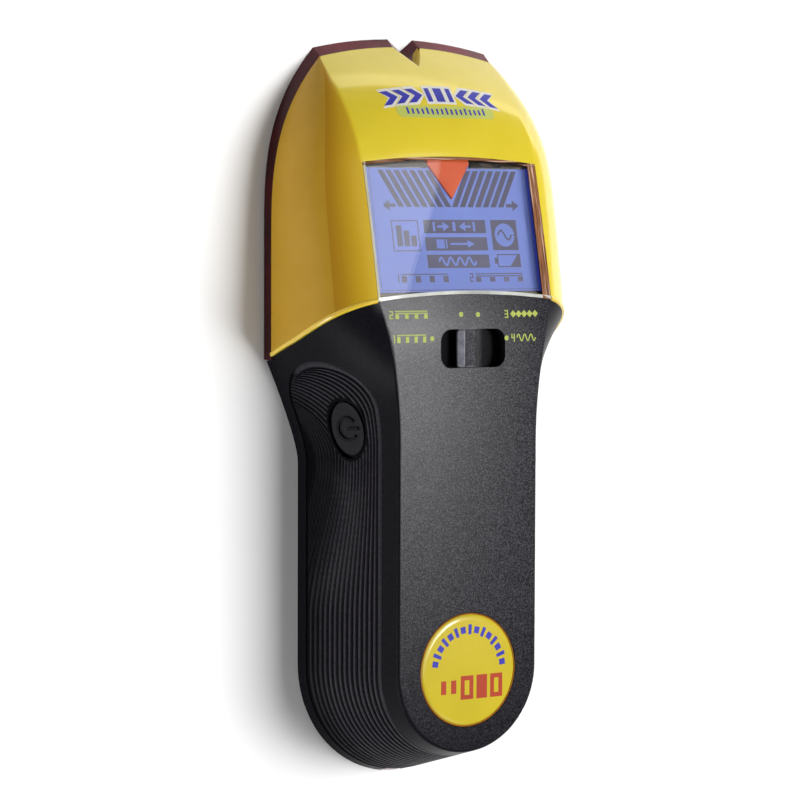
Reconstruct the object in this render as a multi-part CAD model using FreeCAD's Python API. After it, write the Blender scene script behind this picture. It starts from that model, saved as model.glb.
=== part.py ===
"""Handheld stud finder lying on its back. Millimetres, +Z out of the display, +Y to the marking notch."""
import FreeCAD, Part
import os
from math import cos, sin, pi, radians, sqrt

V = FreeCAD.Vector
os.makedirs("parts", exist_ok=True)

# ---- driving dimensions ---------------------------------------------------------------------
Y_TOP = 95.0            # head end of the plan outline on the centre line
END_Y = -64.5           # centre of the round end of the handle
DEPTH = 32.6            # back face to front face of the handle
HALF_BACK = 30.5        # handle half width at the back face
HALF_FRONT = 20.8       # handle half width at the front face
HEAD_HALF = 40.5        # widest half width of the head
FACET = 26.2            # half width of the flat front of the head
CROWN = 0.00452         # the front of the head bends towards the handle by CROWN * x * x
BAND = 3.0              # height of the red edge of the back housing
BAND_LEAN = 2.2         # how far the band leans in at the head end over its height
CORNER_Y = 92.1         # where the sides of the head meet its end edge
BAND_END = 13.3         # the band stops here, at the shoulders
COVER_WALL = 2.0
HANDLE_WALL = 2.6
CREASE_R = 1.2          # rounding between the front and the sides of the handle
PLATE = 2.2             # thickness of the back housing and of the battery door
SEAM = [(-3, 11.5), (3, 14.2), (13.4, 18.5), (20.7, 22.4), (25.5, 25.1), (31, 28.2), (36, 31.2)]
NOTCH_SLOPE = 1.26      # half width of the marking notch per mm of its depth
NOTCH_TIP = [(-3, 94.26), (0, 91.9), (BAND, 89.54), (20, 84.44)]    # z, y of the notch's root line
LIP = 0.5               # the head cover stands proud of the handle housing at the seam
GAP = 0.05              # parting gap between fixed housings
GRIP_Z = (2.65, 27.1)   # edges of the grip on the side walls
GRIP_END_Y, GRIP_DEPTH, GROOVE_DEPTH = 1.0, 1.4, 0.55
GROOVES, GROOVE_PITCH, GROOVE_WIDTH = 12, 1.62, 0.75
PANE_HALF, PANE_LOW, PANE_HIGH, PANE_BOW, PANE_THICK = 26.1, 30.1, 64.5, 1.6, 2.4
TILT = 12.1             # degrees: the display stack slopes down towards the head end
LCD_Y, LCD_DROP = 45.9, 3.6
LCD_HALF_X, LCD_HALF_Y = 25.2, 16.5
POCKET = (-8.6, 10.9, 11.7, 21.4, 3.0)      # slider pocket: x0, x1, y0, y1, corner radius
SLIDER_X, SLIDER_Y, SLIDER_STEP = -2.3, 16.55, 3.4
BUTTON = V(-26.4, -3.7, 17.0)
BUTTON_A, BUTTON_B = 6.8, 4.9       # half axes of the oval button, along and across the wall
BUTTON_SUNK = 0.3       # its face sits this far below the wall
BADGE_R = 14.4
BATTERY = (26.5, 48.5, 17.5)
BATTERY_Y0, BATTERY_Z0 = -81.5, 4.0
HINGE_Y, HINGE_Z, HINGE_R = -29.0, 1.5, 1.5
DOOR_HALF = 15.5
LEAN = (HALF_BACK - HALF_FRONT) / DEPTH
SLANT = sqrt(1 + LEAN * LEAN)


# ---- shape formulas -------------------------------------------------------------------------
def profile(e):
    """Height of the front face along the centre line."""
    if e < 17:
        return DEPTH
    if e < 30.7:
        return DEPTH - 0.19 / 13.7 * (e - 17) ** 2 / 2
    knee = DEPTH - 0.19 * 13.7 / 2
    if e < 65.4:
        return knee - 0.19 * (e - 30.7) - 0.06 / 34.7 * (e - 30.7) ** 2 / 2
    brow = knee - 0.19 * 34.7 - 0.06 * 34.7 / 2
    return brow - 0.25 * (e - 65.4) - 0.0184 * (e - 65.4) ** 2


def front(x, y):
    return profile(y + CROWN * x * x)


def back_half(y):
    """Half width of the head at the back face."""
    return HEAD_HALF - (14.3 * ((y - 45) / 47.1) ** 3 if y > 45 else 0)


def head_half(y, z, inset=0.0):
    """Half width of the yellow cover at a height, for the outside or an inset copy."""
    base = back_half(y + BAND_LEAN) - 0.3 - inset
    facet = FACET - 0.45 * inset
    top = max(front(FACET, y) - inset, BAND + 0.5)
    rise = min(max((z - BAND) / (top - BAND), 0), 1)
    if base < facet:
        return base
    return facet + (base - facet) * (1 - 0.6 * rise ** 2 - 0.4 * rise ** 8)


def seam_y(z):
    for (z0, y0), (z1, y1) in zip(SEAM, SEAM[1:]):
        if z <= z1:
            break
    return y0 + (y1 - y0) * (z - z0) / (z1 - z0)


def handle_half(y, z, inset=0.0):
    """Half width of the handle housing: a leaning wall that flares out to the head."""
    straight = HALF_BACK - LEAN * z
    start = -12 + 4 * z / DEPTH
    along = max(0, (y - start) / (seam_y(z) - start))
    head = head_half(min(y, 50), z) - LIP
    return straight + (head - straight) * along ** (1.25 + 0.95 * z / DEPTH) - inset * SLANT


# ---- small builders -------------------------------------------------------------------------
def line(*pts):
    return Part.makePolygon([V(*p) for p in pts])


def face(*pts):
    return Part.Face(line(*pts, pts[0]))


def spline(pts):
    curve = Part.BSplineCurve()
    curve.interpolate([V(*p) for p in pts])
    return curve.toShape()


def box(x0, x1, y0, y1, z0, z1):
    return Part.makeBox(x1 - x0, y1 - y0, z1 - z0, V(x0, y0, z0))


def cyl(x, y, z, r, h, axis=(0, 0, 1)):
    return Part.makeCylinder(r, h, V(x, y, z), V(*axis))


def join(shapes):
    shapes = list(shapes)
    return shapes[0].multiFuse(shapes[1:]) if len(shapes) > 1 else shapes[0]


def mirrored(shape):
    return shape.mirror(V(0, 0, 0), V(1, 0, 0))


def both(shape):
    return join([shape, mirrored(shape)])


def section(y, half, top, z0):
    """Closed cross-section at y from a half-width formula and a front height formula."""
    x_top = half(y, top(FACET, y))
    z_top = top(x_top, y)
    levels = [z0 + (z_top - z0) * k / 9 for k in range(10)]
    right = spline([(half(y, z), y, z) for z in levels])
    left = spline([(-half(y, z), y, z) for z in levels])
    xs = [half(y, z_top) * k / 3 for k in range(-3, 4)]
    lid = spline([(x, y, top(x, y) if abs(x) < xs[-1] else z_top) for x in xs])
    base = Part.makeLine(V(-half(y, z0), y, z0), V(half(y, z0), y, z0))
    return Part.Wire(Part.__sortEdges__([base, right, lid, left]))


def head_solid(inset):
    ys = (8, 15, 22, 29, 36, 43, 50, 57, 64, 70, 75, 80, 84, 88, 92, 97)
    wires = [section(y, lambda a, z: head_half(a, z, inset),
                     lambda x, a: max(front(x, a) - inset, -3), -5) for y in ys]
    return Part.makeLoft(wires, True, False)


def handle_solid(inset):
    z_top = DEPTH - inset
    low, high = HALF_BACK - inset * SLANT, HALF_BACK - inset * SLANT - LEAN * z_top
    wall = face((-low, END_Y, 0), (low, END_Y, 0), (high, END_Y, z_top), (-high, END_Y, z_top))
    straight = wall.extrude(V(0, -14 - END_Y, 0))
    cone = Part.makeCone(low, high, z_top, V(0, END_Y, 0))
    cone = cone.common(box(-40, 40, END_Y - 40, END_Y, -1, 40))
    ys = (-14, -8, -2, 4, 9, 14, 19, 24, 28, 32)
    wires = [section(y, lambda a, z: handle_half(a, z, inset),
                     lambda x, a: front(x, a) - inset, 0) for y in ys]
    return join([cone, straight, Part.makeLoft(wires, True, False)])


def seam_side(gap):
    """Everything on the handle side of the seam, seen from the side."""
    pts = [(0, y - gap, z) for z, y in SEAM]
    edge = spline([(-60, y, z) for _, y, z in pts])
    rest = line((-60, pts[-1][1], 36), (-60, -120, 36), (-60, -120, -3), (-60, pts[0][1], -3))
    return Part.Face(Part.Wire([edge] + rest.Edges)).extrude(V(120, 0, 0))


def bow(y, half, z):
    """Arc across the head at the height y on the centre line."""
    sag = PANE_BOW * (half / PANE_HALF) ** 2
    return Part.Arc(V(-half, y - sag, z), V(0, y, z), V(half, y - sag, z)).toShape()


def pane_prism(grow):
    """Upright prism through the display window."""
    half = PANE_HALF + grow
    low, high = bow(PANE_LOW - grow, half, 0), bow(PANE_HIGH + grow, half, 0)
    ends = [(low.Vertexes[k].Point, high.Vertexes[k].Point) for k in (0, 1)]
    wire = Part.Wire(Part.__sortEdges__([low, high] + [Part.makeLine(a, b) for a, b in ends]))
    return Part.Face(wire).extrude(V(0, 0, 45))


def under_front(drop):
    """Everything a set distance below the front of the head near the window."""
    wires = []
    for x in (-27, -13.5, 0, 13.5, 27):
        shift = -CROWN * x * x
        top = spline([(x, y + shift, profile(y) - drop) for y in range(22, 75, 4)])
        rest = line((x, 22 + shift, profile(22) - drop), (x, 22 + shift, 5), (x, 74 + shift, 5),
                    (x, 74 + shift, profile(74) - drop))
        wires.append(Part.Wire(Part.__sortEdges__([top] + rest.Edges)))
    return Part.makeLoft(wires, True, False)


def tilted(shape):
    """Place a piece drawn in the display's own frame: z = 0 is the top of the glass."""
    shape = shape.copy()
    shape.rotate(V(0, 0, 0), V(1, 0, 0), -TILT)
    shape.translate(V(0, LCD_Y, profile(LCD_Y) - LCD_DROP))
    return shape


def rounded(x0, x1, y0, y1, r, z0, z1):
    block = box(x0, x1, y0, y1, z0, z1)
    return block.makeFillet(r, [e for e in block.Edges if abs(e.tangentAt(e.FirstParameter).z) > 0.9])


PUSH = V(0.916, 0.201, -0.348).normalize()      # press direction of the power button
ALONG = V(-0.214, 0.977, 0).normalize()         # its long axis, in the wall


def on_wall(a, b, s0, s1):
    """Oval prism on the button axis, between two distances behind the wall surface."""
    ring = Part.Ellipse(V(0, 0, 0), a, b).toShape()
    disc = Part.Face(Part.Wire(ring)).extrude(V(0, 0, s1 - s0))
    turn = FreeCAD.Rotation(ALONG, PUSH.cross(ALONG), PUSH, "ZXY")
    disc.Placement = FreeCAD.Placement(BUTTON + PUSH * s0, turn)
    return disc


def export(name, shape):
    shape.exportStep("parts/%s.step" % name)
    print("%-18s %9.1f mm3  %d solid(s) valid=%s" % (name, shape.Volume, len(shape.Solids), shape.isValid()))


# ---- housings -------------------------------------------------------------------------------
def notch_wedge(behind):
    """The marking notch, or the notch with its wall: its root leans in as it rises."""
    parts = []
    for (z0, y0), (z1, y1) in zip(NOTCH_TIP, NOTCH_TIP[1:]):
        rims = [line((0, y - behind, z), (NOTCH_SLOPE * (100 - y + behind), 100, z),
                     (-NOTCH_SLOPE * (100 - y + behind), 100, z), (0, y - behind, z))
                for z, y in ((z0, y0), (z1, y1))]
        parts.append(Part.makeLoft([Part.Wire(rim.Edges) for rim in rims], True, True))
    return join(parts)


notch, notch_wall = notch_wedge(0), notch_wedge(2.2)
front_half_space = box(-60, 60, -120, 120, BAND + GAP, 60)

cover_outer, cover_inner = head_solid(0), head_solid(COVER_WALL)
shell = [handle_solid(d) for d in (0, 0.12, GROOVE_DEPTH, GRIP_DEPTH, HANDLE_WALL)]


def on_crease(edge):
    middle = edge.valueAt((edge.FirstParameter + edge.LastParameter) / 2)
    return middle.z > DEPTH - 1 and middle.y < 20 and edge.BoundBox.YLength > 1


shell[0] = shell[0].makeFillet(CREASE_R, [e for e in shell[0].Edges if on_crease(e)])

boss_spots = [(29.0, 76.0, 10.0), (20.6, -20.0, 22.0)]      # x, y, height of the closing screws
bosses = [both(cyl(x, y, PLATE + GAP, 2.9, top)).cut(both(cyl(x, y, 0, 1.22, 9.5)))
          for x, y, top in boss_spots]

crescent = box(-PANE_HALF, PANE_HALF, 20, 33, DEPTH - 5, 45)
crescent = crescent.cut([pane_prism(GAP), box(-60, 60, 31, 80, 0, 45)])
cover = cover_outer.cut([cover_inner, notch, seam_side(-GAP), pane_prism(GAP),
                         box(-PANE_HALF - GAP, PANE_HALF + GAP, 20, 32, 0, 45)])
cover = cover.common(front_half_space)
upper_boss = bosses[0].common(cover_outer)
cover = cover.fuse(upper_boss.common(front_half_space))

pocket_x0, pocket_x1, pocket_y0, pocket_y1, pocket_r = POCKET
chamber_z, floor_z = DEPTH - HANDLE_WALL, 28.9
handle_zone = seam_side(GAP).fuse(crescent)
housing = shell[0].cut([shell[4], box(-60, 60, BAND_END - 0.1, 120, -5, BAND + GAP)])
housing = housing.common(handle_zone)
inside = [
    box(-17.4, 19.0, 9.2, 23.9, 27.3, chamber_z + 0.5),                     # slider chamber
    both(box(14.2, 15.4, -80, -34, 21.8, chamber_z + 0.5)),                 # battery ribs
    box(-15.4, 15.4, -31.0, -29.9, 20.0, chamber_z + 0.5),
    both(cyl(16.5, -11.5, 21.65, 2.4, 9)),                                   # switch board posts
    both(cyl(16.5, 7.5, 21.65, 2.4, 9)),
    bosses[1],
]
housing = join([housing] + [piece.common(shell[1].common(handle_zone)) for piece in inside])
housing = housing.cut([
    rounded(pocket_x0, pocket_x1, pocket_y0, pocket_y1, pocket_r, 29.5, 40),
    box(-15.4, 17.0, 11.0, 22.1, floor_z, chamber_z),
    box(SLIDER_X - SLIDER_STEP - 1.15, SLIDER_X + 2 * SLIDER_STEP + 1.15,
        SLIDER_Y - 0.9, SLIDER_Y + 0.9, 25, 30),
    cyl(0, END_Y, DEPTH - 1.2, BADGE_R + 0.15, 5),
    both(cyl(16.5, -11.5, 20, 0.94, 7.5)),
    both(cyl(16.5, 7.5, 20, 0.94, 7.5)),
    box(-5.4, 5.4, -100, -90, -1, 3.1),                                      # door tab
])

# ---- grip -----------------------------------------------------------------------------------
def grip_side(margin):
    """Band along the handle with a round head end, seen from the side."""
    z0, z1 = GRIP_Z[0] + margin, GRIP_Z[1] - margin
    r = (z1 - z0) / 2
    strip = box(-60, 60, -120, GRIP_END_Y, z0, z1)
    return strip.fuse(cyl(-60, GRIP_END_Y, z0 + r, r, 120, (1, 0, 0)))


pocket = shell[0].cut(shell[3]).common(grip_side(0))
housing = housing.cut([pocket, on_wall(BUTTON_A + 0.1, BUTTON_B + 0.1, -3, 6),
                       on_wall(BUTTON_A + 1.05, BUTTON_B + 1.05, HANDLE_WALL + 0.1, 8)])
grip = shell[1].cut(shell[3]).common(grip_side(0.06))
slots = [box(-60, 60, -120, 20, z, z + GROOVE_WIDTH)
         for z in (5.0 + GROOVE_PITCH * k for k in range(GROOVES))]
ring = on_wall(BUTTON_A + 1.7, BUTTON_B + 1.7, -3, 6)
grooves = join(slots).common(grip_side(1.4)).cut([shell[2], ring])
grip = grip.cut([grooves, on_wall(BUTTON_A + 0.75, BUTTON_B + 0.75, -3, 6)])
grip = Part.makeCompound(grip.Solids) if len(grip.Solids) > 1 else grip

# ---- back housing and battery door ----------------------------------------------------------
def head_outline(z):
    """Plan outline of the red band at height z."""
    lean, shrink = BAND_LEAN * z / BAND, 0.1 * z
    ys = [BAND_END + (CORNER_Y - lean - BAND_END) * k / 16 for k in range(17)]
    right = spline([(back_half(y + lean) - shrink, y, z) for y in ys])
    left = spline([(-back_half(y + lean) + shrink, y, z) for y in ys])
    x, y = back_half(CORNER_Y) - shrink, CORNER_Y - lean
    end = Part.Arc(V(-x, y, z), V(0, Y_TOP - lean, z), V(x, y, z)).toShape()
    low = back_half(BAND_END) - shrink
    base = Part.makeLine(V(-low, BAND_END, z), V(low, BAND_END, z))
    return Part.Wire(Part.__sortEdges__([base, right, end, left]))


band = Part.makeLoft([head_outline(0), head_outline(BAND)], True, True)
hollow = cover_inner.cut(notch_wall).common(box(-60, 60, BAND_END + 2, 120, PLATE, 20))
liner = head_solid(COVER_WALL + GAP).common(notch_wall).common(box(-20, 20, 70, 100, PLATE - 0.5, 20))
tray_half = HALF_BACK - LEAN * PLATE - HANDLE_WALL * SLANT - 0.1
tray_ys = [-12.0 + 2.6 * k for k in range(11)]
flare = [(handle_half(y, PLATE, HANDLE_WALL) - 0.1, y, 0) for y in tray_ys]
tray_edge = [spline(flare), spline([(-x, y, z) for x, y, z in flare]),
             line((flare[0][0], -12, 0), (tray_half, END_Y, 0)).Edges[0],
             line((-flare[0][0], -12, 0), (-tray_half, END_Y, 0)).Edges[0],
             Part.makeLine(V(-flare[-1][0], tray_ys[-1], 0), V(flare[-1][0], tray_ys[-1], 0)),
             Part.Arc(V(-tray_half, END_Y, 0), V(0, END_Y - tray_half, 0), V(tray_half, END_Y, 0)).toShape()]
tray = Part.Face(Part.Wire(Part.__sortEdges__(tray_edge))).extrude(V(0, 0, PLATE))
back = join([band.cut(hollow), tray, liner])
sensor_posts = [(28.0, 30.0), (24.0, 78.0)]
back = back.fuse([both(cyl(x, y, 1.8, 2.0, 1.75)) for x, y in sensor_posts])
lugs = both(box(DOOR_HALF + 0.2, DOOR_HALF + 3.4, HINGE_Y - 3, HINGE_Y + 3, 0.0, 4.0))
back = back.fuse(lugs)
door_hole = box(-DOOR_HALF - 0.15, DOOR_HALF + 0.15, -92.4, HINGE_Y + HINGE_R + 0.15, -1, 4.5)
back = back.cut([notch, door_hole, box(-5.4, 5.4, -100, -90, -1, 3.1),
                 cyl(-DOOR_HALF - 2.6, HINGE_Y, HINGE_Z, 0.85, 2 * DOOR_HALF + 5.2, (1, 0, 0))])
for x, y, _ in boss_spots:
    back = back.cut(both(cyl(x, y, -1, 1.4, 5).fuse(cyl(x, y, -1, 2.6, 2.4))))
for x, y in sensor_posts:
    back = back.cut(both(cyl(x, y, 1.0, 0.94, 5)))

door = box(-DOOR_HALF, DOOR_HALF, -92.2, HINGE_Y, 0, PLATE)
door = door.common(Part.makeCylinder(tray_half - 0.2, PLATE, V(0, END_Y, 0)).fuse(
    box(-40, 40, END_Y, 0, 0, PLATE)))
tab = box(-5.2, 5.2, -94.9, -90, 0, 2.6).common(Part.makeCone(
    HALF_BACK - 0.15, HALF_BACK - 0.15 - 4 * LEAN, 4, V(0, END_Y, 0)))
tab = tab.cut(box(-0.9, 0.9, -96, -93.2, -1, 5))
pins = cyl(-DOOR_HALF - 2.4, HINGE_Y, HINGE_Z, 0.8, 2 * DOOR_HALF + 4.8, (1, 0, 0))
door = join([door, tab, cyl(-DOOR_HALF, HINGE_Y, HINGE_Z, HINGE_R, 2 * DOOR_HALF, (1, 0, 0)), pins])
door = join([door] + [box(x - 0.5, x + 0.5, -84, -44, 1.5, 3.0) for x in (-13, 13)])
door_pad = box(-9, 9, -76, -44, PLATE + 0.01, BATTERY_Z0 - 0.06)

# ---- display stack --------------------------------------------------------------------------
slab = under_front(0).cut(under_front(PANE_THICK))
pane = pane_prism(0).common(slab)
lx, ly = LCD_HALF_X, LCD_HALF_Y
glass_hole = box(-lx + 0.6, lx - 0.6, -ly + 0.6, ly - 0.6, -20, 6)
gasket = tilted(box(-lx - 0.5, lx + 0.5, -ly - 0.6, ly + 0.5, 0.02, 4).cut(glass_hole))
gasket = gasket.common(under_front(PANE_THICK + 0.03).common(pane_prism(-0.1)))
gasket = gasket.cut(tilted(box(-6.5, 6.5, ly - 1.5, ly + 4, -5, 5)))
glass = tilted(box(-lx, lx, -ly, ly, -1.1, 0).fuse(box(-lx, lx, -ly + 2, ly, -2.2, -1.1)))
backlight = tilted(box(-lx + 0.4, lx - 0.4, -ly + 2.4, ly - 0.4, -4.6, -2.24))
zebra = tilted(box(-lx + 2, lx - 2, -ly + 0.3, -ly + 1.8, -5.16, -1.14))
frame_outer = box(-lx - 1.7, lx + 1.7, -ly - 1.7, ly + 1.7, -5.15, -0.05)
frame = frame_outer.cut([box(-lx - 0.1, lx + 0.1, -ly - 0.1, ly + 0.1, -10, 5),
                         box(-6.4, 6.4, ly, ly + 3, -10, 5)])
posts = [(x, y) for x in (-22, 22) for y in (-ly - 3.6, ly + 3.6)]
for x, y in posts:
    inward = 2.6 if y < 0 else -2.6
    frame = frame.fuse([cyl(x, y, -5.15, 2.1, 3.4),
                        box(x - 1.6, x + 1.6, min(y, y + inward), max(y, y + inward), -5.15, -2.4)])
for x, y in posts:
    frame = frame.cut(cyl(x, y, -6, 0.94, 3.6))
frame = tilted(frame)
arrow = face((-6.2, ly + 0.2, 0.06), (0, 7.9, 0.06), (6.2, ly + 0.2, 0.06)).extrude(V(0, 0, 0.55))
arrow = tilted(arrow.fuse(box(-6.2, 6.2, ly + 0.2, ly + 1.5, -3.2, 0.61)))
arrow = arrow.common(under_front(PANE_THICK + 0.03))
arrow_led = tilted(box(-1.8, 1.8, ly + 0.1, ly + 1.6, -5.16, -3.25))

board = box(-27, 27, -ly - 7.5, ly + 6.5, -6.8, -5.2)
board = board.cut([cyl(x, y, -8, 1.15, 4) for x, y in posts])
board = tilted(board)
chips = [box(-8, 4, -6, 6, -8.4, -6.83), box(12, 18, 2, 9, -8.1, -6.83), box(-20, -14, -9, -3, -8.1, -6.83)]
caps = [cyl(x, y, -11.5, 2.0, 4.67) for x, y in ((20, -8), (20, -13), (-21, 8))]
can = box(-12, 8, 9, 16, -9.6, -6.83).cut(box(-11.7, 7.7, 9.3, 15.7, -9.3, -6.8))

# ---- switch board, slider and power button ----------------------------------------------------
SB_TOP = 21.6
switch_board = box(-17.6, 19.2, -16, 19.6, SB_TOP - 1.6, SB_TOP)
spots = [(x, y) for x in (-16.5, 16.5) for y in (-11.5, 7.5)]
switch_board = switch_board.cut([cyl(x, y, 15, 1.15, 10) for x, y in spots])
mode_body = box(-12.0, 12.5, SLIDER_Y - 2.7, SLIDER_Y + 2.7, SB_TOP + 0.02, 25.6)
mode_body = mode_body.cut(box(SLIDER_X - SLIDER_STEP - 1.1, SLIDER_X + 2 * SLIDER_STEP + 1.1,
                              SLIDER_Y - 0.75, SLIDER_Y + 0.75, 22.8, 26))
sx, sy = SLIDER_X, SLIDER_Y
plate = box(sx - 7.4, sx + 8.4, 11.3, 21.8, floor_z + 0.05, 29.75)
saddle = box(sx + 1.0, sx + 6.4, 12.1, 21.0, 29.7, 32.0).cut(cyl(sx + 6.4, 11, 37.35, 7.6, 11, (0, 1, 0)))
ridge = rounded(sx - 1.1, sx + 1.1, 12.0, 21.1, 0.5, 29.5, 32.35)
stem = box(sx - 0.9, sx + 0.9, sy - 0.65, sy + 0.65, 23.2, 29.6)
slider = join([plate, ridge, saddle, stem])

button = on_wall(BUTTON_A, BUTTON_B, BUTTON_SUNK, 2.95)
button = button.fuse(on_wall(BUTTON_A + 0.9, BUTTON_B + 0.9, HANDLE_WALL + 0.15, HANDLE_WALL + 0.95))
button = button.fuse(on_wall(1.7, 1.7, 2.5, 4.4))
plunger = on_wall(1.4, 1.4, 4.42, 6.4)
power_switch = on_wall(3.2, 3.2, 5.4, 9.0).cut(on_wall(1.46, 1.46, 5.0, 7.4))
buzzer = cyl(7.5, -5.5, 15.9, 6.0, 4.05).cut(cyl(7.5, -5.5, 15.5, 1.0, 1.4))
header = tilted(box(-9, 9, -ly - 7.2, -ly - 5.2, -7.6, -6.83))

# ---- sensors ----------------------------------------------------------------------------------
outline = [(31, 20), (32.5, 45), (31.5, 62), (26.5, 78), (22, 83)]
sensor = face(*[(x, y, 3.6) for x, y in outline], *[(-x, y, 3.6) for x, y in reversed(outline)])
sensor = sensor.extrude(V(0, 0, 1.6)).cut(both(cyl(boss_spots[0][0], boss_spots[0][1], 2, 3.3, 6)))
sensor = sensor.cut([both(cyl(x, y, 2, 1.15, 6)) for x, y in sensor_posts])
plates = [box(x - 5.5, x + 5.5, 34, 72, 3.42, 3.57) for x in (-19, 0, 19)]
coil = Part.makeTorus(10, 1.3, V(0, 54, 6.55))
link = box(-8, 8, 24, 26, 5.23, 12.0)

# ---- battery ----------------------------------------------------------------------------------
bx, by, bz = BATTERY
battery = box(-bx / 2, bx / 2, BATTERY_Y0, BATTERY_Y0 + by, BATTERY_Z0, BATTERY_Z0 + bz)
battery = battery.makeFillet(1.8, [e for e in battery.Edges if abs(e.tangentAt(e.FirstParameter).y) > 0.9])
top_y, mid_z = BATTERY_Y0 + by, BATTERY_Z0 + bz / 2
terminals = [cyl(-6.35, top_y + 0.02, mid_z, 2.8, 2.2, (0, 1, 0)),
             cyl(6.35, top_y + 0.02, mid_z, 3.9, 2.2, (0, 1, 0)).cut(
                 cyl(6.35, top_y + 0.6, mid_z, 2.9, 3, (0, 1, 0)))]
clip = box(-13, 13, top_y + 2.25, top_y + 3.1, BATTERY_Z0 + 3, BATTERY_Z0 + 14.5)
cups = [cyl(-6.35, top_y + 0.8, mid_z, 3.9, 1.44, (0, 1, 0)).cut(
            cyl(-6.35, top_y, mid_z, 2.85, 3, (0, 1, 0))),
        cyl(6.35, top_y + 0.8, mid_z, 2.7, 1.44, (0, 1, 0))]
leads = []
for x in (-6.35, 6.35):
    path = spline([(x, top_y + 3.13, mid_z), (x, top_y + 6.5, mid_z + 0.8), (x, top_y + 10.5, mid_z + 4.6),
                   (x, top_y + 13.8, SB_TOP - 1.63)])
    circle = Part.Wire(Part.makeCircle(0.6, V(x, top_y + 3.13, mid_z), V(0, 1, 0)))
    leads.append(Part.Wire(path).makePipeShell([circle], True, True))

# ---- trim -------------------------------------------------------------------------------------
badge = cyl(0, END_Y, DEPTH - 1.15, BADGE_R, 1.45)
badge = badge.makeChamfer(0.5, [e for e in badge.Edges if abs(e.BoundBox.ZMin - DEPTH - 0.3) < 1e-3
                                and e.Length > 50])


def screw(x, y, z, head_r, head_h, shank_r, length):
    """Pan head screw pointing up, head underside at z + head_h."""
    body = cyl(x, y, z, head_r, head_h).fuse(cyl(x, y, z + head_h, shank_r, length))
    cross = box(x - head_r * 0.6, x + head_r * 0.6, y - 0.25, y + 0.25, z - 1, z + 0.6 * head_h)
    turned = cross.copy()
    turned.rotate(V(x, y, 0), V(0, 0, 1), 90)
    return body.cut([cross, turned])


closing = [s for x, y, _ in boss_spots for s in (screw(x, y, 0.1, 2.4, 1.28, 1.19, 7),
                                                 screw(-x, y, 0.1, 2.4, 1.28, 1.19, 7))]
small = [screw(x, y, SB_TOP - 2.72, 1.9, 1.1, 0.92, 5.5) for x, y in spots]
small += [tilted(screw(x, y, -7.92, 1.9, 1.1, 0.92, 4.2)) for x, y in posts]
for x, y in sensor_posts:
    for side in (-1, 1):
        pin = screw(side * x, y, 0, 1.8, 1.0, 0.92, 3.7)
        pin.rotate(V(side * x, y, 0), V(1, 0, 0), 180)
        pin.translate(V(0, 0, 6.22))
        small.append(pin)

for name, pieces in {
        "head_cover": [cover], "front_housing": [housing], "grip": [grip], "back_housing": [back],
        "battery_door": [door], "battery_door_pad": [door_pad], "display_window": [pane],
        "window_gasket": [gasket], "lcd_glass": [glass], "lcd_backlight": [backlight],
        "zebra_strip": [zebra], "lcd_frame": [frame], "arrow_lens": [arrow], "arrow_led": [arrow_led],
        "main_board": [board], "chips": [tilted(c) for c in chips], "capacitors": [tilted(c) for c in caps],
        "shield_can": [tilted(can)], "switch_board": [switch_board], "mode_switch_body": [mode_body],
        "mode_slider": [slider], "power_button": [button], "switch_plunger": [plunger],
        "power_switch": [power_switch], "buzzer": [buzzer], "board_header": [header],
        "sensor_board": [sensor], "sensor_plates": plates, "metal_coil": [coil], "sensor_header": [link],
        "badge": [badge], "battery": [battery], "battery_terminals": terminals,
        "battery_clip": [clip], "battery_cups": cups, "battery_leads": leads,
        "housing_screws": closing, "board_screws": small}.items():
    export(name, pieces[0] if len(pieces) == 1 else Part.makeCompound(pieces))
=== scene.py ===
import bpy
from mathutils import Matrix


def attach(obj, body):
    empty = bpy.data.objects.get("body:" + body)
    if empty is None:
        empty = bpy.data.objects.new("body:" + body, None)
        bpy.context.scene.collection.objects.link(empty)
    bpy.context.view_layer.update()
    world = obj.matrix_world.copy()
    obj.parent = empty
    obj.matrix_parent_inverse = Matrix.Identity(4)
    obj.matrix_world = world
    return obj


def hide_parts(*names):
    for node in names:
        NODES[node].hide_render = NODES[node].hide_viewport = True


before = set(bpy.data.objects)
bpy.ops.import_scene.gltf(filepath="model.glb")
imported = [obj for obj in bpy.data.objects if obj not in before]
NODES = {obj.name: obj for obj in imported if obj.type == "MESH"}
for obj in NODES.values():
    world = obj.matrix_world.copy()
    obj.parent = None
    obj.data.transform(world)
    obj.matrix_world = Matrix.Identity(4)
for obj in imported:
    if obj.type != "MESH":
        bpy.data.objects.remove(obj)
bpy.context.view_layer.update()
import bpy
from math import sin, cos, pi, radians, sqrt
import numpy as np
from mathutils import Matrix, Vector

MM = 0.001

# ---- shape formulas shared with the CAD part (millimetres) -----------------------------------
DEPTH = 32.6                                       # back face to the flat part of the front
HALF_BACK, HALF_FRONT = 30.5, 20.8                 # half width of the handle at its back and front
LEAN = (HALF_BACK - HALF_FRONT) / DEPTH            # the handle's side walls lean inwards
SLANT = sqrt(1 + LEAN * LEAN)
END_Y = -64.5                                      # centre of the handle's round end
FACET = 26.2                                       # half width of the front face over the head
CROWN = 0.00452                                    # lines across the front bow towards the handle
BEND_Y, SLOPE_Y, NOSE_Y = 17, 30.7, 65.4           # where the front bends, slopes and falls to the nose
BEND_DROP, SLOPE_DROP, NOSE_CURVE = 0.19, 0.06, 0.0184
HEAD_HALF, TAPER_Y, TAPER, TAPER_LENGTH = 40.5, 45, 14.3, 47.1
BAND, BAND_LEAN = 3.0, 2.2                         # the back plate's edge: its height and how far it leans
COVER_STEP, HOUSING_STEP = 0.3, 0.5                # cover inside the band, housing inside the cover
FLARE_Y, FLARE_SWEEP, FLARE_HEAD_Y = -12, 4, 50    # the handle flares from here to under the cover
SEAM_Z = (-3, 3, 13.4, 20.7, 25.5, 31, 36)         # cover's lower edge on the flank: heights and y
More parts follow.
